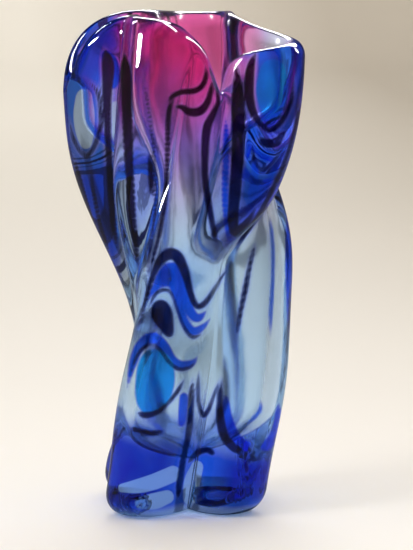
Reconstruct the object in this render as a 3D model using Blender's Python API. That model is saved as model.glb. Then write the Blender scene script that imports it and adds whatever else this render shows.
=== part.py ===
# Art glass vase: one thick body of blown and pulled glass, ruby at the mouth and cobalt below.
# Metres, +Z up. The origin is the centre of the ground base, which rests on Z = 0.
# The front of the vase faces -Y. Angles are degrees about Z from +X, seen from above.

from dataclasses import dataclass
from math import pi

import bmesh
import bpy
import numpy as np

# Overall sizes
HEIGHT = 0.268               # highest point of the mouth's rim
BASE_CORE = 0.021            # radius of the glass between the feet, at the base
WAIST_CORE = 0.027           # the same between the folds, at the waist
MOUTH_CORE = 0.034           # the same at the mouth
WAIST_HEIGHT = 0.088
EARS_WIDTH = 0.131           # over the crests of the left and the right ear
EARS_DEPTH = 0.115           # over the front crest and the back ear
EAR_OFFSET = 0.005           # how much further the left and back ears reach than the right and front ones
BASE_EDGE = 0.014            # rounding between the sides and the ground base

# The hollow
WALL = 0.0095                # wall between the hollow and the outside, at the mouth
WAIST_WALL = 0.0085
FLANK_WALL = 4.5             # degrees that a pocket is narrower than its fold, each side
DEEP_FLANK_WALL = 10.0       # the same in an ear, from DEEP_HEIGHT down
DEEP_START = 0.252           # where an ear's pocket starts to narrow
DEEP_HEIGHT = 0.222
FLOOR_HEIGHT = 0.029         # thickness of the solid base
FLOOR_ROUND = 0.030          # height over which the hollow closes to its rounded bottom
LIP_RISE = 0.0085            # how far the rounded lip stands over the two walls

# The rim's deep dip at the front, between two folds, and the gentler slopes that lead into it
DIP_ANGLE = -54.0
DIP_WIDTH = 14.0
DIP_DEPTH = 0.030
LEFT_SLOPE_ANGLE = -74.0
LEFT_SLOPE_WIDTH = 24.0
LEFT_SLOPE_DEPTH = 0.014
RIGHT_SLOPE_ANGLE = -34.0
RIGHT_SLOPE_WIDTH = 18.0
RIGHT_SLOPE_DEPTH = 0.012

# How far the rim sinks over the ears
LEFT_DROOP = 0.036
RIGHT_DROOP = 0.014
BACK_DROOP = 0.003

# How far the feet stand out from the core
FRONT_LEFT_REACH = 0.036
FRONT_RIGHT_REACH = 0.029
BACK_RIGHT_REACH = 0.033
BACK_LEFT_REACH = 0.035

# The pinches in the feet's pockets
FRONT_PINCH_HEIGHT = 0.115
BACK_PINCH_HEIGHT = 0.100
PINCH_LENGTH = 0.022

SINK_START = 0.45            # share of the height over which the walls are drawn down to the dips

FOLD_SQUARENESS = 2.6        # exponent of a fold's section: 2 is pointed, 4 is blunt
DIP_SQUARENESS = 2.0         # the same for a dip in the rim
FOLD_BLEND = 3.0             # how folds meet: at 1 they add up, and a high value leaves a crease

# Mesh
COLUMNS = 80
OUTER_ROWS = 36
EDGE_ROWS = 4
LIP_ROWS = 5
INNER_ROWS = 22
FLOOR_ROWS = 5
SEAM_TURN = -60.0            # degrees that the mesh's columns turn from rim to base, with the folds


@dataclass
class Fold:
    """One pulled fold of the glass, whose crest runs on a slant from the rim or foot to where it dies out."""
    start_angle: float       # where the crest stands at the rim, or at the foot
    end_angle: float         # where the crest stands as it dies out
    full_height: float       # the fold has its whole reach from its start to this height
    end_height: float        # and none beyond this one
    reach: float             # how far the crest stands out from the core
    width: float             # degrees from the crest to where the fold is at about a third
    hook: float = 0.0        # the turn comes early at +1, late at -1 and evenly at 0
    droop: float = 0.0       # how far the rim sinks over the crest
    droop_width: float = 30.0
    pocket: float = 1.0      # share of the reach that the hollow follows
    pocket_end: float = 0.0  # an ear is solid below this height, and the hollow is in it
    pocket_full: float = 0.0  # fully from this one up
    pinch: float = 0.0       # share of its pocket that a foot loses where the glass was pinched
    pinch_height: float = 0.0
    pinch_length: float = 1.0


SIDE_REACHES = EARS_WIDTH - 2.0 * MOUTH_CORE      # of the left and right ears together
FRONT_BACK_REACHES = EARS_DEPTH - 2.0 * MOUTH_CORE

# Upper folds: full at the rim, dying out below
EARS = (
    # left ear
    Fold(start_angle=180.0, end_angle=150.0, full_height=0.212, end_height=0.062,
         reach=(SIDE_REACHES + EAR_OFFSET) / 2.0, width=30.0,
         droop=LEFT_DROOP, droop_width=16.0, pocket=0.88,
         pocket_end=0.170, pocket_full=0.215),
    # front crest
    Fold(start_angle=-118.0, end_angle=-162.0, full_height=0.200, end_height=0.070,
         reach=(FRONT_BACK_REACHES - EAR_OFFSET) / 2.0, width=23.0, hook=-0.3,
         pocket_end=0.150, pocket_full=0.240),
    # right ear, which sweeps round to the front
    Fold(start_angle=-4.0, end_angle=-108.0, full_height=0.178, end_height=0.112,
         reach=(SIDE_REACHES - EAR_OFFSET) / 2.0, width=25.0, hook=-0.9,
         droop=RIGHT_DROOP, pocket=0.9,
         pocket_end=0.186, pocket_full=0.222),
    # back ear
    Fold(start_angle=84.0, end_angle=34.0, full_height=0.205, end_height=0.100,
         reach=(FRONT_BACK_REACHES + EAR_OFFSET) / 2.0, width=30.0, hook=-0.4, droop=BACK_DROOP,
         pocket_end=0.170, pocket_full=0.240),
)

# Lower folds: full at the foot, dying out above
FEET = (
    # front left foot
    Fold(start_angle=-135.0, end_angle=-78.0, full_height=0.012, end_height=HEIGHT,
         reach=FRONT_LEFT_REACH, width=34.0, hook=0.6, pocket=0.85,
         pinch=0.9, pinch_height=FRONT_PINCH_HEIGHT, pinch_length=PINCH_LENGTH),
    # front right foot
    Fold(start_angle=-45.0, end_angle=28.0, full_height=0.120, end_height=0.246,
         reach=FRONT_RIGHT_REACH, width=35.0, pocket=0.95),
    # back right foot
    Fold(start_angle=45.0, end_angle=105.0, full_height=0.030, end_height=0.220,
         reach=BACK_RIGHT_REACH, width=35.0, pocket=0.85,
         pinch=0.6, pinch_height=BACK_PINCH_HEIGHT, pinch_length=PINCH_LENGTH),
    # back left foot
    Fold(start_angle=138.0, end_angle=128.0, full_height=0.005, end_height=0.086,
         reach=BACK_LEFT_REACH, width=34.0, pocket=0.7),
)


def ease(value, start, end):
    """0 at start, 1 at end, with no kink in slope or curvature."""
    t = np.clip((value - start) / (end - start), 0.0, 1.0)
    return t ** 3 * (10.0 - 15.0 * t + 6.0 * t ** 2)


def swell(angle, centre, width, squareness):
    """A fold's section: 1 at its crest and smoothly 0 away from it. Angles in radians."""
    off = (angle - centre + pi) % (2.0 * pi) - pi
    return np.exp(-(np.abs(off) / width) ** squareness)


def crest_angle(fold, z):
    """Where a fold's crest stands at height z, in radians."""
    start = HEIGHT if fold in EARS else 0.0
    along = np.clip((z - start) / (fold.end_height - start), 0.0, 1.0)
    along = along + fold.hook * along * (1.0 - along)
    return np.radians(fold.start_angle + (fold.end_angle - fold.start_angle) * along)


def core_radius(z):
    """Radius of the glass between the folds."""
    lower = BASE_CORE + (WAIST_CORE - BASE_CORE) * ease(z, 0.0, WAIST_HEIGHT)
    return lower + (MOUTH_CORE - WAIST_CORE) * ease(z, WAIST_HEIGHT, HEIGHT)


def outer_radius(angle, z):
    """The outside of the vase at an angle (radians) and a height."""
    swells = 0.0
    for fold in EARS + FEET:
        reach = fold.reach * ease(z, fold.end_height, fold.full_height)
        width = np.radians(fold.width)
        swells = swells + (reach * swell(angle, crest_angle(fold, z), width, FOLD_SQUARENESS)) ** FOLD_BLEND
    return core_radius(z) + swells ** (1.0 / FOLD_BLEND)


def inner_radius(angle, z):
    """The hollow: it keeps a wall to the outside and follows each fold only as far as its pocket."""
    swells = 0.0
    for fold in EARS + FEET:
        reach = fold.reach * ease(z, fold.end_height, fold.full_height)
        share, flank = fold.pocket, FLANK_WALL
        if fold in EARS:
            share = share * ease(z, fold.pocket_end, fold.pocket_full)
            flank = flank + (DEEP_FLANK_WALL - FLANK_WALL) * ease(z, DEEP_START, DEEP_HEIGHT)
        share = share * (1.0 - fold.pinch * np.exp(-((z - fold.pinch_height) / fold.pinch_length) ** 2))
        width = np.radians(fold.width - flank)
        pocket = share * reach * swell(angle, crest_angle(fold, z), width, FOLD_SQUARENESS)
        swells = swells + pocket ** FOLD_BLEND
    wall = WAIST_WALL + (WALL - WAIST_WALL) * ease(z, WAIST_HEIGHT, HEIGHT)
    return core_radius(z) - wall + swells ** (1.0 / FOLD_BLEND)


def rim_height(angle):
    """Height of the rim at an angle: it sinks over the ears and dips at the front."""
    height = HEIGHT - LIP_RISE
    for middle, width, depth in ((DIP_ANGLE, DIP_WIDTH, DIP_DEPTH),
                                 (LEFT_SLOPE_ANGLE, LEFT_SLOPE_WIDTH, LEFT_SLOPE_DEPTH),
                                 (RIGHT_SLOPE_ANGLE, RIGHT_SLOPE_WIDTH, RIGHT_SLOPE_DEPTH)):
        height = height - depth * swell(angle, np.radians(middle), np.radians(width), DIP_SQUARENESS)
    for fold in EARS:
        crest, width = np.radians(fold.start_angle), np.radians(fold.droop_width)
        height = height - fold.droop * swell(angle, crest, width, DIP_SQUARENESS)
    return height


def wall_height(angle, share, bottom):
    """Height on a wall that runs from the height bottom (share 0) up to the rim (share 1)."""
    sink = (HEIGHT - LIP_RISE - rim_height(angle)) * ease(share, SINK_START, 1.0)
    return bottom + (HEIGHT - LIP_RISE - bottom) * share - sink


def polar_ring(angle, radius, z):
    """Points of one ring round the vase."""
    return np.stack([radius * np.cos(angle), radius * np.sin(angle), z], axis=1)


def outside_rings(angles):
    """From the edge of the ground base, round its rounded corner and up to the rim."""
    rings = []
    for step in np.linspace(0.0, pi / 2.0, EDGE_ROWS, endpoint=False):
        angle = angles + np.radians(SEAM_TURN)
        z = np.full_like(angle, BASE_EDGE * (1.0 - np.cos(step)))
        rings.append(polar_ring(angle, outer_radius(angle, z) - BASE_EDGE * (1.0 - np.sin(step)), z))
    for share in np.linspace(0.0, 1.0, OUTER_ROWS):
        angle = angles + np.radians(SEAM_TURN) * (1.0 - share)
        z = wall_height(angle, share, BASE_EDGE)
        rings.append(polar_ring(angle, outer_radius(angle, z), z))
    return rings


def lip_rings(angles):
    """Over the rounded lip, from the outside to the hollow."""
    z = rim_height(angles)
    outside = outer_radius(angles, z)
    inside = inner_radius(angles, z)
    middle, half = (outside + inside) / 2.0, (outside - inside) / 2.0
    rings = []
    for step in np.linspace(0.0, pi, LIP_ROWS + 2)[1:-1]:
        rings.append(polar_ring(angles, middle + half * np.cos(step), z + LIP_RISE * np.sin(step)))
    return rings


def hollow_rings(angles):
    """From the rim down the wall of the hollow and in over its rounded bottom."""
    top_of_floor = FLOOR_HEIGHT + FLOOR_ROUND
    rings = []
    for share in np.linspace(1.0, 0.0, INNER_ROWS):
        angle = angles + np.radians(SEAM_TURN) * (1.0 - share)
        z = wall_height(angle, share, top_of_floor)
        rings.append(polar_ring(angle, inner_radius(angle, z), z))
    angle = angles + np.radians(SEAM_TURN)
    for step in np.linspace(0.0, pi / 2.0, FLOOR_ROWS + 2)[1:-1]:
        z = np.full_like(angle, top_of_floor - FLOOR_ROUND * np.sin(step))
        rings.append(polar_ring(angle, inner_radius(angle, z) * np.cos(step), z))
    return rings


def vase_body():
    """The whole vase: rings joined into one closed skin, with a flat ground base."""
    angles = np.linspace(0.0, 2.0 * pi, COLUMNS, endpoint=False)
    rings = outside_rings(angles) + lip_rings(angles) + hollow_rings(angles)
    form = bmesh.new()
    loops = [[form.verts.new(point) for point in ring] for ring in rings]
    for lower, upper in zip(loops, loops[1:]):
        for i in range(COLUMNS):
            j = (i + 1) % COLUMNS
            form.faces.new((lower[i], lower[j], upper[j], upper[i]))
    form.faces.new(reversed(loops[0]))
    bottom = form.verts.new((0.0, 0.0, FLOOR_HEIGHT))
    for i in range(COLUMNS):
        form.faces.new((loops[-1][i], loops[-1][(i + 1) % COLUMNS], bottom))
    bmesh.ops.recalc_face_normals(form, faces=form.faces)
    for face in form.faces:
        face.smooth = len(face.verts) < COLUMNS
    mesh = bpy.data.meshes.new("vase_body")
    form.to_mesh(mesh)
    form.free()
    return bpy.data.objects.new("vase_body", mesh)


def cobalt_glass():
    """Clear blue glass; the ruby at the mouth runs into it."""
    glass = bpy.data.materials.new("cobalt_ruby_glass")
    glass.use_nodes = True
    shader = glass.node_tree.nodes["Principled BSDF"]
    shader.inputs["Base Color"].default_value = (0.10, 0.25, 0.75, 1.0)
    shader.inputs["Roughness"].default_value = 0.02
    shader.inputs["Metallic"].default_value = 0.0
    shader.inputs["IOR"].default_value = 1.5
    shader.inputs["Transmission Weight"].default_value = 1.0
    return glass


def main():
    for item in list(bpy.data.objects):
        bpy.data.objects.remove(item, do_unlink=True)
    collection = bpy.data.collections.new("art_glass_vase")
    bpy.context.scene.collection.children.link(collection)
    body = vase_body()
    body.data.materials.append(cobalt_glass())
    collection.objects.link(body)


main()
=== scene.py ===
"""Art glass vase: cobalt glass, ruby at the mouth, blown and pulled into twisted folds.

The front of the vase faces -Y. Lengths are metres. Angles are degrees about Z from +X, seen from above.
"""

from math import cos, pi, radians, sin

import bmesh
import bpy
import numpy as np
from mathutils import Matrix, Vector

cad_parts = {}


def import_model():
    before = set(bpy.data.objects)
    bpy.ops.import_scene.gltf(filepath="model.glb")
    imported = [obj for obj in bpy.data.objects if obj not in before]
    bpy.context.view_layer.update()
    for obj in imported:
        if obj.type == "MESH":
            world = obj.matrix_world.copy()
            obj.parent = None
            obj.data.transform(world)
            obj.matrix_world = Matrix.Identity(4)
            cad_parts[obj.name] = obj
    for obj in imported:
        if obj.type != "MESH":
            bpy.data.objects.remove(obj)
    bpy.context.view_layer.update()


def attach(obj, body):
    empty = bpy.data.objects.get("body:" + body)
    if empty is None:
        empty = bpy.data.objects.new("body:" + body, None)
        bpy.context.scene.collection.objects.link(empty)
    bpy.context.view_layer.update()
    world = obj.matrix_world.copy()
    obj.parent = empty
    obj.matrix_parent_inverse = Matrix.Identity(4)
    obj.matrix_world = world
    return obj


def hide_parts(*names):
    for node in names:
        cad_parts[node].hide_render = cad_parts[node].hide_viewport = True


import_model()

BODY = "root"
NODE = "vase_body"

# The vase, as in the part's solids
HEIGHT = 0.268
BASE_CORE = 0.021
WAIST_CORE = 0.027
MOUTH_CORE = 0.034
WAIST_HEIGHT = 0.088
BASE_EDGE = 0.014
WALL = 0.0095
WAIST_WALL = 0.0085
FLANK_WALL = 4.5
DEEP_FLANK_WALL = 10.0
DEEP_START = 0.252
DEEP_FULL = 0.222
FLOOR_HEIGHT = 0.029
FLOOR_ROUND = 0.030
LIP_RISE = 0.0085
RIM_DIPS = (                 # angle, width and depth
    (-54.0, 14.0, 0.030),
    (-74.0, 24.0, 0.014),
    (-34.0, 18.0, 0.012),
)
SINK_START = 0.45
FOLD_SQUARENESS = 2.6
DIP_SQUARENESS = 2.0
FOLD_BLEND = 3.0


class Fold:
    """A pulled fold, whose crest runs on a slant from the rim or the foot to where it dies out."""

    def __init__(self, start_height, start_angle, end_angle, full_height, end_height, reach, width,
                 hook=0.0, droop=0.0, droop_width=30.0, pocket=1.0, pocket_end=None, pocket_full=None,
                 pinch=0.0, pinch_height=0.0, pinch_length=1.0):
        self.start_height, self.start_angle, self.end_angle = start_height, start_angle, end_angle
        self.full_height, self.end_height = full_height, end_height
        self.reach, self.width, self.hook = reach, radians(width), hook
        self.droop, self.droop_width = droop, radians(droop_width)
        self.pocket, self.pocket_end, self.pocket_full = pocket, pocket_end, pocket_full
        self.pinch, self.pinch_height, self.pinch_length = pinch, pinch_height, pinch_length

    def crest(self, z):
        along = np.clip((z - self.start_height) / (self.end_height - self.start_height), 0.0, 1.0)
        along = along + self.hook * along * (1.0 - along)
        return np.radians(self.start_angle + (self.end_angle - self.start_angle) * along)

    def outer(self, angle, z):
        reach = self.reach * ease(z, self.end_height, self.full_height)
        return reach * swell(angle, self.crest(z), self.width, FOLD_SQUARENESS)

    def inner(self, angle, z):
        reach = self.pocket * self.reach * ease(z, self.end_height, self.full_height)
        flank = radians(FLANK_WALL)
        if self.pocket_end is not None:
            reach = reach * ease(z, self.pocket_end, self.pocket_full)
            flank = flank + radians(DEEP_FLANK_WALL - FLANK_WALL) * ease(z, DEEP_START, DEEP_FULL)
        reach = reach * (1.0 - self.pinch * np.exp(-((z - self.pinch_height) / self.pinch_length) ** 2))
        return reach * swell(angle, self.crest(z), self.width - flank, FOLD_SQUARENESS)


LEFT_EAR = Fold(HEIGHT, 180.0, 150.0, 0.212, 0.062, 0.034, 30.0, droop=0.036, droop_width=16.0,
                pocket=0.88, pocket_end=0.170, pocket_full=0.215)
FRONT_CREST = Fold(HEIGHT, -118.0, -162.0, 0.200, 0.070, 0.021, 23.0, hook=-0.3,
                   pocket_end=0.150, pocket_full=0.240)
RIGHT_EAR = Fold(HEIGHT, -4.0, -108.0, 0.178, 0.112, 0.029, 25.0, hook=-0.9, droop=0.014,
                 pocket=0.9, pocket_end=0.186, pocket_full=0.222)
BACK_EAR = Fold(HEIGHT, 84.0, 34.0, 0.205, 0.100, 0.026, 30.0, hook=-0.4, droop=0.003,
                pocket_end=0.170, pocket_full=0.240)
FRONT_LEFT_FOOT = Fold(0.0, -135.0, -78.0, 0.012, HEIGHT, 0.036, 34.0, hook=0.6, pocket=0.85,
                       pinch=0.9, pinch_height=0.115, pinch_length=0.022)
FRONT_RIGHT_FOOT = Fold(0.0, -45.0, 28.0, 0.120, 0.246, 0.029, 35.0, pocket=0.95)
BACK_RIGHT_FOOT = Fold(0.0, 45.0, 105.0, 0.030, 0.220, 0.033, 35.0, pocket=0.85,
                       pinch=0.6, pinch_height=0.100, pinch_length=0.022)
BACK_LEFT_FOOT = Fold(0.0, 138.0, 128.0, 0.005, 0.086, 0.035, 34.0, pocket=0.7)
EARS = (LEFT_EAR, FRONT_CREST, RIGHT_EAR, BACK_EAR)
FEET = (FRONT_LEFT_FOOT, FRONT_RIGHT_FOOT, BACK_RIGHT_FOOT, BACK_LEFT_FOOT)
FOLDS = EARS + FEET

# Mesh of the visible glass
COLUMNS = 300
EDGE_ROWS = 12
OUTER_ROWS = 210
LIP_ROWS = 14
INNER_ROWS = 70
FLOOR_ROWS = 14
SEAM_TURN = -60.0            # how far the mesh's columns turn from the lip down to the foot
SAME_PLACE = 1e-6            # points of the glass closer than this are one


def ease(value, start, end):
    t = np.clip((value - start) / (end - start), 0.0, 1.0)
    return t ** 3 * (10.0 - 15.0 * t + 6.0 * t ** 2)


def turn_from(angle, centre):
    return (angle - centre + pi) % (2.0 * pi) - pi


def swell(angle, centre, width, squareness):
    return np.exp(-(np.abs(turn_from(angle, centre)) / width) ** squareness)


def core_radius(z):
    lower = BASE_CORE + (WAIST_CORE - BASE_CORE) * ease(z, 0.0, WAIST_HEIGHT)
    return lower + (MOUTH_CORE - WAIST_CORE) * ease(z, WAIST_HEIGHT, HEIGHT)


def outer_radius(angle, z):
    swells = sum(fold.outer(angle, z) ** FOLD_BLEND for fold in FOLDS)
    return core_radius(z) + swells ** (1.0 / FOLD_BLEND)


def inner_radius(angle, z):
    wall = WAIST_WALL + (WALL - WAIST_WALL) * ease(z, WAIST_HEIGHT, HEIGHT)
    swells = sum(fold.inner(angle, z) ** FOLD_BLEND for fold in FOLDS)
    return core_radius(z) - wall + swells ** (1.0 / FOLD_BLEND)


def rim_height(angle):
    height = HEIGHT - LIP_RISE
    for middle, width, depth in RIM_DIPS:
        height = height - depth * swell(angle, radians(middle), radians(width), DIP_SQUARENESS)
    for ear in EARS:
        height = height - ear.droop * swell(angle, radians(ear.start_angle), ear.droop_width, DIP_SQUARENESS)
    return height


def wall_height(angle, share, bottom):
    sink = (HEIGHT - LIP_RISE - rim_height(angle)) * ease(share, SINK_START, 1.0)
    return bottom + (HEIGHT - LIP_RISE - bottom) * share - sink


# The blank: a tube whose rows are numbered from the edge of the base, over the lip, to the hollow's floor
ROWS = EDGE_ROWS + OUTER_ROWS + LIP_ROWS + INNER_ROWS + FLOOR_ROWS


def blown_place(row, angle):
    """Angle, radius and height of a row's point, from its number and the angle of its column."""
    low_turn = radians(SEAM_TURN)
    if row < EDGE_ROWS:
        step = 0.5 * pi * row / EDGE_ROWS
        turned = angle + low_turn
        z = np.full_like(angle, BASE_EDGE * (1.0 - cos(step)))
        return turned, outer_radius(turned, z) - BASE_EDGE * (1.0 - sin(step)), z
    row -= EDGE_ROWS
    if row < OUTER_ROWS:
        share = row / (OUTER_ROWS - 1)
        turned = angle + low_turn * (1.0 - share)
        z = wall_height(turned, share, BASE_EDGE)
        return turned, outer_radius(turned, z), z
    row -= OUTER_ROWS
    if row < LIP_ROWS:
        step = pi * (row + 1) / (LIP_ROWS + 1)
        rim = rim_height(angle)
        outside, inside = outer_radius(angle, rim), inner_radius(angle, rim)
        radius = (outside + inside) / 2.0 + (outside - inside) / 2.0 * cos(step)
        return angle, radius, rim + LIP_RISE * sin(step)
    row -= LIP_ROWS
    floor_top = FLOOR_HEIGHT + FLOOR_ROUND
    if row < INNER_ROWS:
        share = 1.0 - row / (INNER_ROWS - 1)
        turned = angle + low_turn * (1.0 - share)
        z = wall_height(turned, share, floor_top)
        return turned, inner_radius(turned, z), z
    row -= INNER_ROWS
    step = 0.5 * pi * (row + 1) / FLOOR_ROWS
    turned = angle + low_turn
    z = np.full_like(angle, floor_top - FLOOR_ROUND * sin(step))
    return turned, inner_radius(turned, z) * cos(step), z


# The photograph's view. Its pixels are given in a frame of 413 by 550.
FRAME_WIDTH, FRAME_HEIGHT = 413, 550
AXIS_PIXEL = 188.0           # column that the vase's axis falls on
MIDDLE_PIXEL = 260.0         # row that the point looked at falls on
PIXEL = 0.000540             # metres to a pixel at the vase
DISTANCE = 1.8
ELEVATION = 7.5
AIM = Vector((0.0, 0.0, 0.134))
SENSOR = 36.0
TO_CAMERA = np.array((0.0, -cos(radians(ELEVATION)), sin(radians(ELEVATION))))
UPWARDS = np.array((0.0, sin(radians(ELEVATION)), cos(radians(ELEVATION))))


def seen_place(places):
    """Column and row of the photograph's view that each point falls on."""
    from_aim = places - np.array(AIM)
    nearness = DISTANCE / (DISTANCE - from_aim @ TO_CAMERA)
    column = AXIS_PIXEL + from_aim[:, 0] / PIXEL * nearness
    row = MIDDLE_PIXEL - from_aim @ UPWARDS / PIXEL * nearness
    return column, row


# Trails painted on the front, each a smooth line through its points: column and row in the photograph's view,
# and half the trail's breadth there in pixels. Dark trails are partly the glass's own coloured lines and
# partly painted dark refraction. Sky-blue and pale trails are painted refraction of the bright backdrop. Blue
# trails are deep blue bands.
PANEL_TRAILS = (
    ((176, 99, 2.4), (170, 106, 3), (168, 125, 3.2), (167, 165, 3), (165, 200, 3), (160, 230, 2.8),
     (153, 258, 2.6), (147, 280, 2.4)),
    ((212, 74, 2), (217, 90, 2.2), (218, 103, 2.8), (212, 116, 4), (207, 128, 5), (205, 150, 4.5),
     (205, 175, 4), (208, 200, 4), (212, 222, 3.4), (216, 240, 2.8), (219, 253, 2)),
)
CURL_TRAILS = (
    ((172, 108, 2), (181, 107, 3), (190, 112, 4.8), (200, 111, 5), (207, 103, 4), (211, 90, 3), (213, 78, 2)),
    ((167, 106, 2), (172, 97, 3), (182, 92, 3.4), (194, 91, 3.6), (202, 86, 3.2), (206, 76, 2.6),
     (205, 64, 2)),
)
CREST_TRAILS = (
    ((124, 50, 6), (126, 75, 6.5), (127, 110, 6), (129, 160, 5.2), (132, 210, 4.4), (136, 250, 3.2),
     (139, 272, 2)),
    ((143, 72, 2), (147, 100, 2), (152, 135, 2.2), (155, 170, 2.2), (155, 210, 2), (150, 250, 2),
     (146, 284, 2)),
    ((149, 150, 2), (151, 175, 3.6), (152, 198, 2)),
)
LEFT_EAR_TRAILS = (
    ((104, 46, 5), (108, 66, 7), (107, 100, 5), (108, 140, 4), (110, 180, 4), (113, 220, 4), (118, 256, 3)),
    ((84, 76, 2.4), (97, 92, 2.4), (101, 116, 2.6), (97, 140, 2.6), (86, 156, 2.6), (74, 140, 2.4),
     (69, 115, 2)),
    ((73, 150, 3), (80, 185, 4), (88, 215, 4.5), (98, 245, 4.5), (110, 275, 3.6), (120, 298, 2.4)),
    ((90, 165, 2), (94, 195, 2.6), (101, 228, 2.4), (110, 255, 2)),
)
RIGHT_EAR_TRAILS = (
    ((236, 52, 5), (238, 100, 7.5), (238, 150, 7), (235, 190, 6.5), (233, 218, 6), (236, 232, 5.5),
     (247, 222, 4), (259, 203, 3)),
    ((258, 48, 4), (251, 66, 5), (249, 92, 5.4), (253, 112, 4.6), (262, 126, 3.4), (272, 130, 3.2),
     (284, 118, 3.2), (292, 96, 3), (294, 62, 2.6)),
    ((258, 138, 3), (266, 143, 5), (276, 142, 5), (286, 130, 3)),
    ((251, 140, 2), (254, 158, 2.2), (262, 170, 2.4), (272, 163, 2.2), (281, 150, 2)),
    ((299, 92, 3), (297, 118, 3), (289, 150, 3), (277, 180, 3), (263, 208, 3), (248, 230, 2.8),
     (236, 246, 2.4)),
)
ARCH_TRAILS = (
    ((133, 345, 2), (140, 322, 2.2), (148, 292, 2.8), (156, 268, 4), (165, 256, 5.5), (172, 254, 6),
     (179, 259, 5.5), (186, 275, 4.5), (191, 295, 3.5), (197, 306, 3), (205, 303, 3), (214, 290, 2.6),
     (226, 270, 2.2), (238, 250, 2)),
    ((147, 311, 2), (155, 295, 2), (163, 290, 2), (171, 293, 2), (177, 309, 2), (184, 327, 2), (193, 337, 2),
     (205, 332, 2)),
    ((160, 305, 8), (162, 314, 11), (166, 325, 8), (171, 338, 3)),
    ((128, 390, 2), (134, 363, 2), (142, 349, 2.2), (152, 345, 2.4), (161, 351, 2.4), (169, 362, 2.2),
     (179, 369, 2.2), (190, 367, 2), (198, 358, 2)),
    ((136, 412, 2), (145, 415, 3.6), (155, 413, 3), (165, 406, 2.2), (177, 392, 2.4), (185, 378, 2)),
    ((130, 428, 2.6), (140, 431, 3), (152, 433, 3), (165, 431, 2.6)),
)
LOW_TRAILS = (
    ((193, 375, 2.5), (191, 400, 3.5), (189, 430, 3.5), (184, 455, 3.5), (180, 480, 4), (177, 502, 4)),
    ((222, 375, 2), (220, 395, 3), (220, 415, 4.5), (224, 435, 5), (233, 447, 4.5), (246, 455, 4)),
    ((256, 240, 2), (250, 265, 2.5), (245, 290, 3), (240, 315, 2.5), (236, 340, 2)),
    ((199, 370, 2), (198, 388, 2), (199, 405, 2.2), (203, 415, 2.6), (209, 409, 2.2), (215, 393, 2),
     (221, 376, 2)),
    ((187, 464, 2.2), (196, 454, 3), (207, 450, 3.4), (215, 455, 3)),
)
BLUE_TRAILS = (
    ((151, 300, 4), (160, 280, 6), (172, 270, 8), (182, 286, 7), (189, 309, 5.5), (198, 318, 4.5),
     (209, 308, 3)),
    ((145, 306, 3), (154, 289, 4), (163, 283, 4.5), (172, 285, 4.5), (178, 300, 4.5), (184, 320, 4.5),
     (193, 331, 4.5), (204, 326, 3.5), (214, 313, 2.5)),
    ((125, 397, 3.5), (131, 370, 4.5), (137, 351, 5.5), (146, 340, 6), (155, 338, 6), (164, 347, 6),
     (171, 359, 5.5), (180, 365, 5), (192, 363, 4.5), (200, 353, 3)),
    ((184, 392, 5), (183, 410, 5), (181, 428, 4)),
    ((279, 400, 3), (277, 425, 4.5), (271, 441, 5.5), (261, 450, 5)),
    ((225, 392, 4), (228, 418, 5), (236, 438, 6), (250, 451, 6)),
    ((301, 128, 3), (298, 160, 5), (294, 190, 6), (291, 230, 6), (290, 270, 5), (290, 310, 4),
     (288, 350, 2.5)),
    ((254, 146, 3), (255, 175, 4), (252, 196, 4), (262, 188, 4), (272, 176, 4), (281, 158, 3)),
    ((103, 50, 4), (110, 62, 8), (114, 76, 7), (113, 90, 4)),
    ((226, 112, 3), (226, 150, 4), (225, 195, 4), (228, 232, 3.4), (234, 248, 2.6)),
)
SKY_TRAILS = (
    ((273, 72, 13), (272, 88, 16), (272, 100, 14), (272, 112, 9)),
    ((152, 357, 9), (155, 368, 18), (155, 382, 20), (152, 396, 17), (147, 406, 8)),
)
PALE_TRAILS = (
    ((84, 97, 8), (84, 115, 10.5), (85, 132, 9), (86, 143, 6)),
    ((115, 104, 3), (117, 130, 5), (119, 170, 6), (122, 210, 7), (126, 250, 6.5), (129, 285, 5.5),
     (133, 308, 3)),
    ((122, 488, 4), (138, 486, 7), (156, 481, 8), (173, 474, 8)),
    ((141, 503, 6), (155, 501, 8), (167, 497, 7)),
    ((190, 498, 7), (192, 482, 8), (197, 467, 6)),
)
TRAILS = {
    "dark": (PANEL_TRAILS + CURL_TRAILS + CREST_TRAILS + LEFT_EAR_TRAILS + RIGHT_EAR_TRAILS + ARCH_TRAILS
             + LOW_TRAILS),
    "blue": BLUE_TRAILS,
    "sky": SKY_TRAILS,
    "pale": PALE_TRAILS,
}
TAPERED = ("dark", "blue")
TRAIL_STEPS = 8              # steps from each point of a trail to the next
TRAIL_BLUR = 6.0             # a trail's field goes from 0 to 1 in twice as many pixels, 0.5 at its edge
TAPER_SHARE = 0.18           # share of a dark or blue trail's length in which it thins out to nothing


def smooth_trail(points, tapered):
    """Places along a smooth line through a trail's points, with the half breadth at each."""
    points = np.array(points, dtype=float)
    ends = np.vstack((2.0 * points[0] - points[1], points, 2.0 * points[-1] - points[-2]))
    places = []
    for before, start, end, after in zip(ends, ends[1:], ends[2:], ends[3:]):
        for t in np.arange(TRAIL_STEPS) / TRAIL_STEPS:
            places.append(0.5 * (2.0 * start + (end - before) * t
                                 + (2.0 * before - 5.0 * start + 4.0 * end - after) * t ** 2
                                 + (3.0 * start - before - 3.0 * end + after) * t ** 3))
    places.append(points[-1])
    places = np.array(places)
    if tapered:
        share = np.linspace(0.0, 1.0, len(places))
        fading = 1.0 - np.minimum(1.0, np.minimum(share, 1.0 - share) / TAPER_SHARE)
        places[:, 2] -= (places[:, 2] + 1.0) * fading ** 2
    return places


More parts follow.
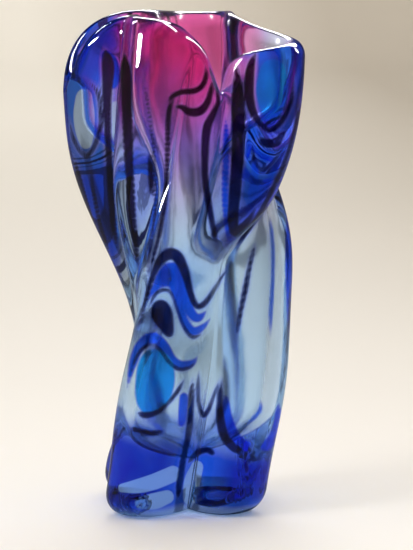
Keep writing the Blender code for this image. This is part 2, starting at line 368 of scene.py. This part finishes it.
def trail_field(trails, tapered, column, row):
    """0.5 at the edge of the nearest trail, more inside it and less outside."""
    inside = np.full_like(column, -TRAIL_BLUR)
    for trail in trails:
        places = smooth_trail(trail, tapered)
        near = np.ones(len(column), dtype=bool)
        for seen, along in ((column, places[:, 0]), (row, places[:, 1])):
            reach = places[:, 2].max() + TRAIL_BLUR
            near &= (seen > along.min() - reach) & (seen < along.max() + reach)
        away = np.hypot(column[near, None] - places[:, 0], row[near, None] - places[:, 1])
        inside[near] = np.maximum(inside[near], (places[:, 2] - away).max(axis=1))
    return np.clip(0.5 + inside / (2.0 * TRAIL_BLUR), 0.0, 1.0)


# Colour in the glass, with painted refraction in the trails and the windows. Each field is painted on the
# mesh, and the material draws its lines from it.
FIELDS = ("ruby", "cobalt", "deep", "ear", "hollow", "dark", "blue", "sky", "pale")
# Clear windows painted in the ears, seen from behind too, as painted refraction where the backdrop shows
# bright through the glass: angle, height, half their spread and half their height
WINDOWS = (
    (-31.0, 0.230, 12.0, 0.026),
    (191.0, 0.213, 8.0, 0.022),
    (26.0, 0.232, 36.0, 0.034),
    (152.0, 0.215, 16.0, 0.030),
)
WINDOW_EDGE = (0.70, 1.30)           # shares of a window's half size between which it ends
FRONT_EDGE = (0.0, 0.12)             # how much a place faces the view, from no trails to whole ones
# Heights at which a colour starts to come in and is full
RUBY_HEIGHTS = (0.125, 0.255)
PANEL_HEIGHTS = (0.10, 0.13)
BACK_EAR_HEIGHTS = (0.17, 0.22)
EAR_LINE_HEIGHTS = (0.105, 0.150)
COBALT_BASE_HEIGHTS = (0.001, 0.008)
DEEP_BASE_HEIGHTS = (0.003, 0.012)
# Shares of a fold's reach at which a colour starts to change and has changed
RUBY_EAR_EDGE = (0.15, 0.70)
COBALT_EAR_EDGE = (0.05, 0.45)
DEEP_EAR_EDGE = (0.5, 0.9)
DEEP_FOOT_EDGE = (0.3, 0.9)
# Shares of a colour that are lost at a place
EAR_RUBY_LOSS = 0.95
PANEL_COBALT_LOSS = 0.9
HOLLOW_COBALT_LOSS = 0.85
WINDOW_COBALT_LOSS = 0.8
# How strong a colour is at a place. The feet have one share all round, and one more at the front.
BACK_EAR_COBALT = 0.4
BACK_EAR_LINES = 0.41
EAR_DEEP = 0.6
FOOT_COBALT, FRONT_FOOT_COBALT = 0.5, 0.5
FOOT_DEEP, FRONT_FOOT_DEEP = 0.4, 0.55
PANEL_ANGLE = -90.0                  # the clear panel down the front
PANEL_WIDTH = 26.0
PANEL_SQUARENESS = 4.0
FOOT_TOP = 0.042                     # height of the blue feet's upper edge, which is lower to the right
FOOT_SLANT = 0.22
FOOT_FADE = 0.011


def window_share(angle, z):
    """1 at the middle of a painted clear window, 0 outside them all."""
    share = np.zeros_like(z)
    for middle, height, spread, half in WINDOWS:
        away = np.hypot(turn_from(angle, radians(middle)) / radians(spread), (z - height) / half)
        share = np.maximum(share, 1.0 - ease(away, *WINDOW_EDGE))
    return share


def paint_fields(places, facing, hollow):
    """The fields at points of the glass: colour all over, and trails where the outside faces the view, which
    paint refraction as well as colour.
    """
    angle, z = np.arctan2(places[:, 1], places[:, 0]), places[:, 2]
    level = {fold: fold.outer(angle, z) / fold.reach for fold in FOLDS}
    ears = np.clip(level[LEFT_EAR] + level[RIGHT_EAR], 0.0, 1.0)
    feet = 1.0 - ease(z - FOOT_TOP + FOOT_SLANT * places[:, 0], -FOOT_FADE, FOOT_FADE)
    window = window_share(angle, z)
    outside = 1.0 - hollow
    front = ease(facing, *FRONT_EDGE) * outside
    column, row = seen_place(places)
    fields = {name: trail_field(trails, name in TAPERED, column, row) * front
              for name, trails in TRAILS.items()}
    ruby_lost = EAR_RUBY_LOSS * ease(ears, *RUBY_EAR_EDGE) * np.maximum(outside, window)
    fields["ruby"] = ease(z, *RUBY_HEIGHTS) * (1.0 - ruby_lost)
    fields["cobalt"] = cobalt_share(angle, z, level, ears, feet, window, front, hollow)
    deep = EAR_DEEP * ease(ears, *DEEP_EAR_EDGE) * (1.0 - window)
    lobes = ease(sum(level[fold] for fold in FEET), *DEEP_FOOT_EDGE)
    deep = deep + feet * ease(z, *DEEP_BASE_HEIGHTS) * lobes * (FOOT_DEEP + FRONT_FOOT_DEEP * front)
    fields["deep"] = np.clip(deep, 0.0, 1.0) * outside
    # nested ear lines off the front, partly the glass's coloured layers and partly painted dark refraction
    nested = np.maximum(np.maximum(level[LEFT_EAR], level[RIGHT_EAR]), BACK_EAR_LINES * level[BACK_EAR])
    fields["ear"] = nested * ease(z, *EAR_LINE_HEIGHTS) * outside * (1.0 - front) * (1.0 - window)
    fields["hollow"] = hollow
    return fields


def cobalt_share(angle, z, level, ears, feet, window, front, hollow):
    """Cobalt in the ears and the feet, but little in the front panel, the hollow and the painted windows."""
    cobalt = ease(ears, *COBALT_EAR_EDGE)
    cobalt = cobalt + BACK_EAR_COBALT * level[BACK_EAR] * (1.0 - ease(z, *BACK_EAR_HEIGHTS))
    panel = swell(angle, radians(PANEL_ANGLE), radians(PANEL_WIDTH), PANEL_SQUARENESS)
    cobalt = cobalt * (1.0 - PANEL_COBALT_LOSS * panel * ease(z, *PANEL_HEIGHTS))
    cobalt = cobalt + feet * (FOOT_COBALT + FRONT_FOOT_COBALT * front)
    cobalt = cobalt * (1.0 - HOLLOW_COBALT_LOSS * hollow)
    cobalt = cobalt * (1.0 - WINDOW_COBALT_LOSS * (1.0 - front) * window)
    return np.clip(cobalt, 0.0, 1.0) * ease(z, *COBALT_BASE_HEIGHTS)


def vase_mesh():
    """A tube is spun from one upright line, then each of its rows is blown to its place."""
    form = bmesh.new()
    line = [form.verts.new((1.0, 0.0, float(row))) for row in range(ROWS)]
    edges = [form.edges.new(pair) for pair in zip(line, line[1:])]
    bmesh.ops.spin(form, geom=line + edges, cent=(0.0, 0.0, 0.0), axis=(0.0, 0.0, 1.0),
                   angle=2.0 * pi, steps=COLUMNS, use_merge=True)
    layers = {name: form.verts.layers.float.new(name) for name in FIELDS}
    rows = [[] for row in range(ROWS)]
    for vert in form.verts:
        rows[round(vert.co.z)].append(vert)
    for row, verts in enumerate(rows):
        blank_angles = np.array([np.arctan2(vert.co.y, vert.co.x) for vert in verts])
        angle, radius, z = blown_place(row, blank_angles)
        x, y = radius * np.cos(angle), radius * np.sin(angle)
        for k, vert in enumerate(verts):
            vert.co = (x[k], y[k], z[k])
    bmesh.ops.recalc_face_normals(form, faces=form.faces)
    form.normal_update()
    verts = [vert for row in rows for vert in row]
    places = np.array([vert.co for vert in verts])
    facing = np.array([vert.normal for vert in verts]) @ TO_CAMERA
    lip_top = EDGE_ROWS + OUTER_ROWS + LIP_ROWS // 2
    hollow = np.repeat([float(row >= lip_top) for row in range(ROWS)], COLUMNS)
    fields = paint_fields(places, facing, hollow)
    for name in FIELDS:
        layer = layers[name]
        for vert, amount in zip(verts, fields[name]):
            vert[layer] = amount
    bmesh.ops.remove_doubles(form, verts=rows[-1], dist=SAME_PLACE)
    bmesh.ops.holes_fill(form, edges=[edge for edge in form.edges if edge.is_boundary], sides=0)
    bmesh.ops.recalc_face_normals(form, faces=form.faces)
    for face in form.faces:
        face.smooth = True
    mesh = bpy.data.meshes.new("glass_vase")
    form.to_mesh(mesh)
    form.free()
    return mesh


# Shader maths as Python expressions
class Value:
    """A node socket, on which the operators add Math nodes."""

    def __init__(self, tree, socket):
        self.tree, self.socket = tree, socket

    def math(self, operation, other=None, swap=False):
        node = self.tree.nodes.new("ShaderNodeMath")
        node.operation = operation
        pair = [self, other] if not swap else [other, self]
        for slot, item in zip(node.inputs, pair):
            if isinstance(item, Value):
                self.tree.links.new(item.socket, slot)
            elif item is not None:
                slot.default_value = item
        return Value(self.tree, node.outputs[0])

    def __add__(self, other):
        return self.math("ADD", other)

    __radd__ = __add__

    def __mul__(self, other):
        return self.math("MULTIPLY", other)

    __rmul__ = __mul__

    def __sub__(self, other):
        return self.math("SUBTRACT", other)

    def __rsub__(self, other):
        return self.math("SUBTRACT", other, swap=True)

    def clamp(self):
        return self.math("MINIMUM", 1.0).math("MAXIMUM", 0.0)


class Shades:
    """A material's or world's node tree, with one method that makes any node."""

    def __init__(self, tree):
        self.tree = tree
        tree.nodes.clear()

    def node(self, kind, settings=None, stops=None, inputs=None):
        """Makes a node, sets it up, fills or links its sockets, and returns it."""
        node = self.tree.nodes.new(kind)
        for name, setting in (settings or {}).items():
            setattr(node, name, setting)
        if stops:
            ramp = node.color_ramp
            while len(ramp.elements) < len(stops):
                ramp.elements.new(0.5)
            for element, (place, colour) in zip(ramp.elements, stops):
                element.position, element.color = place, colour
        for name, item in (inputs or {}).items():
            socket = node.inputs[name]
            if isinstance(item, Value):
                self.tree.links.new(item.socket, socket)
            elif isinstance(item, bpy.types.NodeSocket):
                self.tree.links.new(item, socket)
            else:
                socket.default_value = item
        return node

    def value(self, kind, settings=None, stops=None, inputs=None, output=0):
        node = self.node(kind, settings, stops, inputs)
        return Value(self.tree, node.outputs[output])

    def coords(self):
        """The place on the piece, in metres."""
        return self.node("ShaderNodeTexCoord").outputs["Object"]

    def rise(self, value, start, full, steps="SMOOTHSTEP"):
        """0 up to the start, then rising to 1 at the full value."""
        return self.value("ShaderNodeMapRange", {"interpolation_type": steps},
                          inputs={0: value, 1: start, 2: full, 3: 0.0, 4: 1.0})

    def mix(self, factor, first, second):
        node = self.node("ShaderNodeMix", {"data_type": "RGBA"})
        for socket, item in ((node.inputs[0], factor), (node.inputs[6], first), (node.inputs[7], second)):
            if isinstance(item, Value):
                self.tree.links.new(item.socket, socket)
            else:
                socket.default_value = item
        return Value(self.tree, node.outputs[2])


def rgb(red, green, blue):
    return (red, green, blue, 1.0)


def grey(level):
    return rgb(level, level, level)


# Colours that light takes on as it passes the glass
CLEAR = rgb(0.78, 0.90, 1.0)
GREY_LILAC = rgb(0.85, 0.80, 1.0)
LILAC = rgb(0.78, 0.48, 0.93)
RUBY = rgb(0.96, 0.15, 0.48)
COBALT = rgb(0.004, 0.07, 0.88)
ULTRAMARINE = rgb(0.0004, 0.002, 0.30)
HALO = rgb(0.05, 0.10, 0.85)
# painted refraction: the bright backdrop seen through the right ear and under the arches
SKY_BLUE = rgb(0.0006, 0.15, 1.0)
TRAIL_BLUE = rgb(0.0004, 0.018, 0.75)
# painted refraction: pale windows where the backdrop shows bright through the glass
PALE = rgb(0.78, 0.92, 1.0)
# colours of the dark lines, which are partly the glass's own and partly painted dark refraction
LINE_INK_AND_PAINTED_SHADE = rgb(0.0001, 0.0004, 0.012)
MAROON = rgb(0.003, 0.0001, 0.002)
RUBY_STOPS = ((0.0, CLEAR), (0.25, GREY_LILAC), (0.64, LILAC), (1.0, RUBY))
# Lines in a field: the line's middle, half its breadth and its depth
EAR_LINES = (
    (0.05, 0.012, 0.85),
    (0.17, 0.030, 1.0),
    (0.30, 0.012, 0.8),
    (0.50, 0.060, 0.95),
    (0.75, 0.015, 0.7),
)
LINE_SOFTNESS = 0.012
TRAIL_STOPS = ((0.46, grey(0.0)), (0.53, grey(0.8)), (0.62, grey(1.0)))
HALO_STOPS = ((0.22, grey(0.0)), (0.36, grey(0.16)), (0.52, grey(0.85)))
STREAK_SCALE = (60.0, 60.0, 28.0)
STREAK_DETAIL = 3.0
STREAK_DISTORTION = 0.6
STREAK_MIDDLE = 0.5
DRIFT = 0.09                 # how far the streaks shift the edges of the colours
TRAIL_DRIFT = 1.2            # times that far for the edges of the trails
COBALT_STREAKS = (0.3, 0.9)  # how much the streaks add to a colour's strength, and what it is without them
DEEP_STREAKS = (0.5, 0.75)
RIPPLE = 0.0003              # height of the ripples that run with the streaks
HOLLOW_ROUGHNESS = 0.22      # the hollow's wall is less even than the fire-polished outside
GLASS_IOR = 1.5
CAST = rgb(0.20, 0.58, 0.97)
CAST_DENSITY = 16.0


def line_stops(lines):
    """Stops of a ramp that is full in each line and empty between them."""
    stops = [(0.0, grey(0.0))]
    for middle, half, depth in lines:
        stops.append((middle - half - LINE_SOFTNESS, grey(0.0)))
        stops.append((middle - half, grey(depth)))
        stops.append((middle + half, grey(depth)))
        stops.append((middle + half + LINE_SOFTNESS, grey(0.0)))
    return stops


def glass_material():
    """Cased glass: clear with a blue cast, ruby round the mouth and cobalt in the ears and feet, with painted
    refraction on the front: dark lines, and pale and sky-blue windows.
    """
    glass = bpy.data.materials.new("cased_glass")
    glass.use_nodes = True
    sh = Shades(glass.node_tree)
    field = {name: sh.value("ShaderNodeAttribute", {"attribute_name": name}, output="Fac") for name in FIELDS}
    streak_place = sh.node("ShaderNodeMapping", inputs={"Vector": sh.coords(), "Scale": STREAK_SCALE})
    streaks = sh.value("ShaderNodeTexNoise", inputs={
        "Vector": streak_place.outputs[0], "Scale": 1.0, "Detail": STREAK_DETAIL,
        "Distortion": STREAK_DISTORTION})
    drift = (streaks - STREAK_MIDDLE) * DRIFT

    def ramp(name, stops, drifting):
        return sh.value("ShaderNodeValToRGB", stops=stops, inputs={0: field[name] + drifting})

    def streaked(name, added, least):
        return (field[name] * (streaks * added + least)).clamp()

    # nested lines in the ears, partly the glass's own coloured layers and partly painted dark refraction
    ear_lines = ramp("ear", line_stops(EAR_LINES), drift)
    trail = {name: ramp(name, TRAIL_STOPS, drift * TRAIL_DRIFT) for name in TRAILS}
    halo = ramp("dark", HALO_STOPS, drift * TRAIL_DRIFT)
    not_pale = 1.0 - trail["pale"]
    line_colour = sh.mix(field["ruby"], LINE_INK_AND_PAINTED_SHADE, MAROON)
    tint = ramp("ruby", RUBY_STOPS, drift)
    tint = sh.mix(streaked("cobalt", *COBALT_STREAKS), tint, COBALT)
    tint = sh.mix(streaked("deep", *DEEP_STREAKS) * not_pale, tint, ULTRAMARINE)
    tint = sh.mix(ear_lines * not_pale, tint, line_colour)
    # Painted on the front: a blue fringe round the dark trails, deep blue bands, sky-blue and pale windows
    # that are painted refraction of the bright backdrop, and dark lines that are partly the glass's own and
    # partly painted dark refraction
    tint = sh.mix(halo, tint, sh.mix(field["ruby"], HALO, LILAC))
    tint = sh.mix(trail["blue"], tint, TRAIL_BLUE)
    tint = sh.mix(trail["sky"], tint, SKY_BLUE)
    tint = sh.mix(trail["pale"], tint, PALE)
    tint = sh.mix(trail["dark"], tint, line_colour)
    ripple = sh.node("ShaderNodeBump", inputs={"Strength": 1.0, "Distance": RIPPLE, "Height": streaks})
    shader = sh.node("ShaderNodeBsdfPrincipled", inputs={
        "Base Color": tint, "Roughness": field["hollow"] * HOLLOW_ROUGHNESS, "IOR": GLASS_IOR,
        "Transmission Weight": 1.0, "Normal": ripple.outputs[0]})
    cast = sh.node("ShaderNodeVolumeAbsorption", inputs={"Color": CAST, "Density": CAST_DENSITY})
    sh.node("ShaderNodeOutputMaterial",
            inputs={"Surface": shader.outputs[0], "Volume": cast.outputs[0]})
    return glass


# The scene around the vase
FLOOR_RADIUS = 3.2           # flat part of the sheet, wider than any view of the vase stands off
SHEET_RISE = 0.9             # radius of its bend
SHEET_TOP = 3.4
FLAT_STEPS, BEND_STEPS, SHEET_COLUMNS = 6, 12, 96
SHEET_SAME_PLACE = 1e-5      # points of the sheet closer than this are one
FLOOR_GAP = 0.0003           # air under the ground base, so that the glass meets air there and not the paper
FLOOR_COLOUR = rgb(0.87, 0.83, 0.765)
PAPER_SHADE_COLOUR = rgb(0.74, 0.68, 0.59)
GREYING = (0.3, 6.5)         # painted shade: the paper turns from its lit colour to a shaded grey between these distances
GREY_RISE, GREY_ACROSS = 1.5, 13.0           # how much height and a move to the right add to the distance, so that the painted shade deepens upwards and to the right
BACK_GLOW = rgb(0.25, 0.24, 0.21)            # painted light: a glow that far paper gives off where the camera or the glass sees it
GLOWING = (0.4, 2.4)         # the glow comes in between these distances
PAPER_ROUGHNESS = 0.7
# What the glass alone sees dark: upright bands round the set, its top, and all of it where it is mirrored
DARK_COLOUR = rgb(0.035, 0.028, 0.030)
DARK_BANDS = 8.0
BAND_EDGE = (0.66, 0.92)
BAND_DEPTH = 0.65
BAND_HEIGHTS = (0.04, 0.20)
DARK_TOP_HEIGHTS = (2.4, 3.4)
MIRRORED_DARK = 0.85
SKY_COLOUR = rgb(1.0, 0.98, 0.95)
SKY_STRENGTH = 1.0
LAMP_DISTANCE = 1.4


def floor():
    """A pale sheet, flat under the vase, that rises round it on every side."""
    outline = [(FLOOR_RADIUS * k / FLAT_STEPS, -FLOOR_GAP) for k in range(FLAT_STEPS + 1)]
    for k in range(1, BEND_STEPS + 1):
        bend = 0.5 * pi * k / BEND_STEPS
        outline.append((FLOOR_RADIUS + SHEET_RISE * sin(bend), SHEET_RISE * (1.0 - cos(bend)) - FLOOR_GAP))
    outline.append((FLOOR_RADIUS + SHEET_RISE, SHEET_TOP))
    form = bmesh.new()
    line = [form.verts.new((radius, 0.0, z)) for radius, z in outline]
    edges = [form.edges.new(pair) for pair in zip(line, line[1:])]
    bmesh.ops.spin(form, geom=line + edges, cent=(0.0, 0.0, 0.0), axis=(0.0, 0.0, 1.0),
                   angle=2.0 * pi, steps=SHEET_COLUMNS, use_merge=True)
    bmesh.ops.remove_doubles(form, verts=form.verts, dist=SHEET_SAME_PLACE)
    for face in form.faces:
        face.smooth = True
    mesh = bpy.data.meshes.new("floor")
    form.to_mesh(mesh)
    form.free()
    sheet = bpy.data.objects.new("floor", mesh)
    bpy.context.scene.collection.objects.link(sheet)
    mesh.materials.append(sheet_material())
    return sheet


def sheet_material():
    """Pale paper with painted shade that greys it with distance, height and to the right, and dark in places
    for the glass alone.
    """
    paint = bpy.data.materials.new("floor_paper")
    paint.use_nodes = True
    sh = Shades(paint.node_tree)
    coords = sh.coords()
    split = sh.node("ShaderNodeSeparateXYZ", inputs={0: coords})
    x, y, z = (Value(sh.tree, axis) for axis in split.outputs)
    flat = sh.value("ShaderNodeVectorMath", {"operation": "MULTIPLY"}, inputs={0: coords, 1: (1.0, 1.0, 0.0)})
    far = sh.value("ShaderNodeVectorMath", {"operation": "LENGTH"}, inputs={0: flat}, output="Value")
    # painted shade, deeper far off, up high and to the right
    painted_shade = sh.rise(far + z * GREY_RISE + x * GREY_ACROSS, *GREYING, steps="LINEAR")
    distant = sh.rise(far, *GLOWING, steps="LINEAR")
    path = sh.node("ShaderNodeLightPath")
    from_camera, from_glass, through_glass = (
        Value(sh.tree, path.outputs[kind])
        for kind in ("Is Camera Ray", "Is Glossy Ray", "Is Transmission Ray"))
    bearing = y.math("ARCTAN2", x)
    bands = sh.rise((bearing * DARK_BANDS).math("COSINE") * -1.0, *BAND_EDGE) * sh.rise(z, *BAND_HEIGHTS)
    top = sh.rise(z, *DARK_TOP_HEIGHTS)
    mirrored = 1.0 - through_glass
    dark = from_glass * (bands * BAND_DEPTH + top + mirrored * MIRRORED_DARK).clamp()
    looked_at = (from_camera + from_glass + through_glass).clamp()
    glow = sh.mix(looked_at * distant * (1.0 - painted_shade) * (1.0 - dark), grey(0.0), BACK_GLOW)
    paper = sh.mix(painted_shade, FLOOR_COLOUR, PAPER_SHADE_COLOUR)
    shader = sh.node("ShaderNodeBsdfPrincipled", inputs={
        "Base Color": sh.mix(dark, paper, DARK_COLOUR), "Roughness": PAPER_ROUGHNESS,
        "Emission Color": glow, "Emission Strength": 1.0})
    sh.node("ShaderNodeOutputMaterial", inputs={"Surface": shader.outputs[0]})
    return paint


def lamp(name, bearing, elevation, size, strength, distance=LAMP_DISTANCE, mirrored=True, height=AIM.z,
         spread=180.0):
    """A softbox aimed at a height of the vase, from a bearing about Z and an elevation in degrees.

    The glass mirrors it, or else it lights the set and the glass doesn't show it.
    """
    data = bpy.data.lights.new(name, "AREA")
    data.shape = "ELLIPSE"
    data.size, data.size_y = size
    data.energy = strength
    data.spread = radians(spread)
    item = bpy.data.objects.new(name, data)
    towards = Vector((cos(radians(bearing)) * cos(radians(elevation)),
                      sin(radians(bearing)) * cos(radians(elevation)), sin(radians(elevation))))
    item.location = Vector((0.0, 0.0, height)) + towards * distance
    item.rotation_euler = towards.to_track_quat("Z", "Y").to_euler()
    item.visible_glossy = mirrored
    item.visible_diffuse = not mirrored
    item.visible_transmission = False
    item.visible_camera = False
    bpy.context.scene.collection.objects.link(item)
    return item


def world():
    """Soft light from all round, which the glass itself sees dark."""
    sky = bpy.data.worlds.new("studio")
    bpy.context.scene.world = sky
    sky.use_nodes = True
    sh = Shades(sky.node_tree)
    path = sh.node("ShaderNodeLightPath")
    colour = sh.mix(Value(sh.tree, path.outputs["Is Glossy Ray"]), SKY_COLOUR, DARK_COLOUR)
    back = sh.node("ShaderNodeBackground", inputs={"Color": colour, "Strength": SKY_STRENGTH})
    sh.node("ShaderNodeOutputWorld", inputs={"Surface": back.outputs[0]})


def camera():
    data = bpy.data.cameras.new("camera")
    data.sensor_fit, data.sensor_height = "VERTICAL", SENSOR
    data.lens = SENSOR * DISTANCE / (FRAME_HEIGHT * PIXEL)
    data.shift_x = (FRAME_WIDTH / 2 - AXIS_PIXEL) / FRAME_HEIGHT
    data.shift_y = (MIDDLE_PIXEL - FRAME_HEIGHT / 2) / FRAME_HEIGHT
    item = bpy.data.objects.new("camera", data)
    back = Vector(TO_CAMERA)
    item.location = AIM + back * DISTANCE
    item.rotation_euler = (-back).to_track_quat("-Z", "Y").to_euler()
    bpy.context.scene.collection.objects.link(item)
    bpy.context.scene.camera = item


def glass_vase():
    mesh = vase_mesh()
    piece = bpy.data.objects.new("glass_vase", mesh)
    bpy.context.scene.collection.objects.link(piece)
    mesh.materials.append(glass_material())
    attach(piece, BODY)
    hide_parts(NODE)
    return piece


def light_scene():
    """One lamp for the set, and four that the glass mirrors."""
    world()
    lamp("left_lamp", bearing=-150.0, elevation=40.0, size=(0.45, 0.45), strength=5.0, mirrored=False)
    lamp("left_strip", bearing=-172.0, elevation=45.0, size=(0.30, 0.6), strength=18.0)
    lamp("crest_card", bearing=-134.0, elevation=-3.0, size=(0.24, 0.10), strength=0.5, distance=0.7,
         height=0.235, spread=18.0)
    lamp("top_softbox", bearing=75.0, elevation=52.0, size=(1.5, 0.8), strength=70.0)
    lamp("right_strip", bearing=15.0, elevation=35.0, size=(0.25, 0.6), strength=12.0)
    bpy.context.scene.view_settings.view_transform = "Standard"


camera()
floor()
glass_vase()
light_scene()
